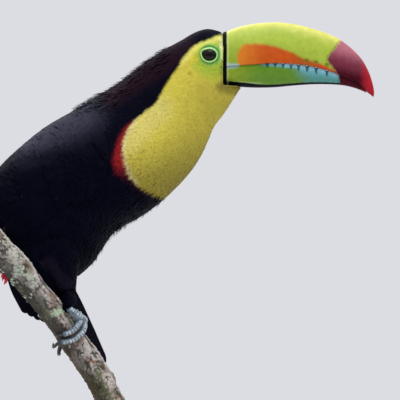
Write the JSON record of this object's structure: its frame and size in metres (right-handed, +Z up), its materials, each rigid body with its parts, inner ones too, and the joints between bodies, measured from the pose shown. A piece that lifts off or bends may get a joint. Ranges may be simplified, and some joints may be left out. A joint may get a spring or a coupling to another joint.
{
  "type": "keel-billed toucan model on a perch",
  "caption": "Still life-size keel-billed toucan leaning forward on a cut length of branch, with folded wings, hanging tail and a plain display stand",
  "frame": {"origin": "the centre of the flat underside of the stand's base", "axes": "+X is the way the bird faces, +Y its left side, +Z up"},
  "size_m": [0.3907, 0.164, 0.3938],
  "materials": {
    "plumage_yellow": "soft matte yellow throat and cheek feathers with an orange-red lower border",
    "plumage_black": "black body, wing and tail feathers with a faint blue and maroon gloss, red under the tail and white over it",
    "bill_horn_green": "satin horn, lime green with a yellow ridge, an orange flash and a maroon tip",
    "bill_horn_blue": "satin horn, green at the root, light blue towards the front and maroon at the tip",
    "eye_cornea": "wet dark brown eye under a clear cornea",
    "foot_skin": "scaly blue-grey skin",
    "claw_horn": "smooth dark horn",
    "bark": "rough grey-brown bark with pale lichen, sawn ends",
    "stand_wood": "oiled and sanded oak",
    "stand_steel": "brushed steel rod"
  },
  "bodies": {
    "root": {"head": "plumage_yellow", "neck": "plumage_yellow", "trunk": "plumage_black", "tail": "plumage_black", "wing_right": "plumage_black", "wing_left": "plumage_black", "thigh_right": "plumage_black", "thigh_left": "plumage_black", "eye_right": "eye_cornea", "eye_left": "eye_cornea", "bill_upper": "bill_horn_green", "bill_lower": "bill_horn_blue", "foot_right": "foot_skin", "foot_left": "foot_skin", "claw_right_1": "claw_horn", "claw_right_2": "claw_horn", "claw_right_3": "claw_horn", "claw_right_4": "claw_horn", "claw_left_1": "claw_horn", "claw_left_2": "claw_horn", "claw_left_3": "claw_horn", "claw_left_4": "claw_horn", "perch_branch": "bark", "stand_base": "stand_wood", "stand_rod": "stand_steel"}
  },
  "joints": []
}
